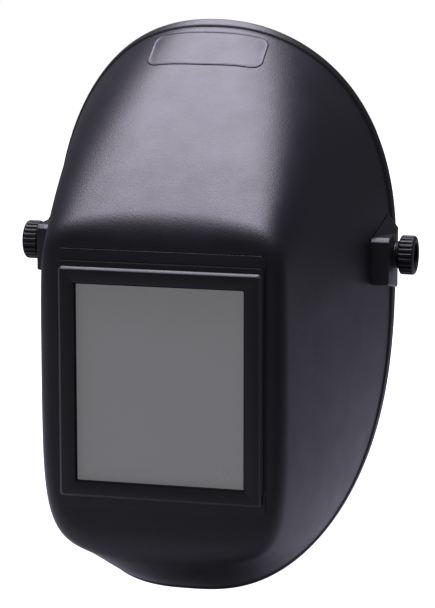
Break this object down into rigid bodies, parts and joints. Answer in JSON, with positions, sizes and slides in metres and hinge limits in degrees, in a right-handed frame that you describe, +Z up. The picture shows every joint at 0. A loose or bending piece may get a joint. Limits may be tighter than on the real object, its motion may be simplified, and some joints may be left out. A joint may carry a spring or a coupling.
{
  "type": "welding helmet",
  "caption": "Black passive welding helmet: moulded face shell with a fixed front filter window, side tension knobs and ratchet headgear inside.",
  "frame": {"origin": "the middle of the line through both side pivots, where the head sits in the headband", "axes": "+Z up, -Y the way the wearer looks, +X the wearer's left"},
  "size_m": [0.2562, 0.2682, 0.351],
  "materials": {
    "shell_plastic": "fine satin moulded texture",
    "black_plastic": "satin moulded",
    "gray_plastic": "matte moulded",
    "clear_cover": "clear polycarbonate",
    "filter_glass": "dark gray filter glass",
    "black_rubber": "matte",
    "steel": "zinc plated",
    "brass": "turned",
    "sweat_foam": "foam under brushed cloth"
  },
  "bodies": {
    "headgear": {"headband": "black_plastic", "sweatband": "sweat_foam", "crown_strap_left": "black_plastic", "crown_strap_right": "black_plastic", "crown_pin": "gray_plastic", "strap_rivet_left": "steel", "strap_rivet_right": "steel", "pivot_arm_left": "gray_plastic", "pivot_arm_right": "gray_plastic", "front_arm_rivet_left": "steel", "front_arm_rivet_right": "steel", "rear_arm_rivet_left": "steel", "rear_arm_rivet_right": "steel", "pivot_bolt_left": "steel", "pivot_bolt_right": "steel", "friction_washer_left": "black_rubber", "friction_washer_right": "black_rubber"},
    "face_shell": {"shell": "shell_plastic", "window_frame": "black_plastic", "clamp_ring": "black_plastic", "cover_plate": "clear_cover", "lens_gasket": "black_rubber", "filter_plate": "filter_glass", "inner_plate": "clear_cover", "lens_retainer": "gray_plastic"},
    "bail_top": {"lens_bail_top": "steel"},
    "bail_bottom": {"lens_bail_bottom": "steel"},
    "washer_left": {"tension_washer_left": "black_plastic"},
    "washer_right": {"tension_washer_right": "black_plastic"},
    "side_knob_left": {"knob_left": "black_plastic", "knob_insert_left": "brass"},
    "side_knob_right": {"knob_right": "black_plastic", "knob_insert_right": "brass"},
    "nape": {"nape_band": "black_plastic", "nape_pad": "sweat_foam", "ratchet_housing": "black_plastic", "ratchet_cover": "gray_plastic", "cover_screw_left": "steel", "cover_screw_right": "steel"},
    "size_knob": {"ratchet_knob": "black_plastic", "pinion": "gray_plastic", "ratchet_axle": "steel"},
    "tail_left": {"toothed_tail_left": "black_plastic"},
    "tail_right": {"toothed_tail_right": "black_plastic"}
  },
  "joints": [
    {"name": "helmet_tilt", "type": "hinge", "parent": "headgear", "child": "face_shell", "pos_m": [0, 0, 0], "axis": [-1, 0, 0], "range_deg": [0, 75]},
    {"name": "bail_top_open", "type": "hinge", "parent": "face_shell", "child": "bail_top", "pos_m": [0, -0.12255, 0.0098], "axis": [1, 0, 0], "range_deg": [0, 80]},
    {"name": "bail_bottom_open", "type": "hinge", "parent": "face_shell", "child": "bail_bottom", "pos_m": [0, -0.12255, -0.1332], "axis": [-1, 0, 0], "range_deg": [0, 80]},
    {"name": "knob_travel_left", "type": "slide", "parent": "headgear", "child": "washer_left", "axis": [1, 0, 0], "range_m": [0, 0.00191]},
    {"name": "knob_turn_left", "type": "hinge", "parent": "washer_left", "child": "side_knob_left", "pos_m": [0, 0, 0], "axis": [1, 0, 0], "range_deg": [0, 540]},
    {"name": "knob_travel_right", "type": "slide", "parent": "headgear", "child": "washer_right", "axis": [-1, 0, 0], "range_m": [0, 0.00191]},
    {"name": "knob_turn_right", "type": "hinge", "parent": "washer_right", "child": "side_knob_right", "pos_m": [0, 0, 0], "axis": [-1, 0, 0], "range_deg": [0, 540]},
    {"name": "headband_size", "type": "slide", "parent": "headgear", "child": "nape", "axis": [0, 1, 0], "range_m": [-0.015, 0.015]},
    {"name": "size_knob_turn", "type": "hinge", "parent": "nape", "child": "size_knob", "pos_m": [0, 0.11, 0], "axis": [0, 1, 0], "range_deg": [-140, 140]},
    {"name": "tail_slide_left", "type": "slide", "parent": "nape", "child": "tail_left", "axis": [1, 0, 0], "range_m": [-0.0151, 0.0151]},
    {"name": "tail_slide_right", "type": "slide", "parent": "nape", "child": "tail_right", "axis": [1, 0, 0], "range_m": [-0.0151, 0.0151]}
  ],
  "couplings": [
    {"joint": "knob_turn_left", "follows": "knob_travel_left", "rad_per_m": 4947.4},
    {"joint": "knob_turn_right", "follows": "knob_travel_right", "rad_per_m": 4947.4},
    {"joint": "size_knob_turn", "follows": "headband_size", "rad_per_m": -160},
    {"joint": "tail_slide_right", "follows": "headband_size", "ratio": -1},
    {"joint": "tail_slide_left", "follows": "headband_size", "ratio": 1}
  ]
}
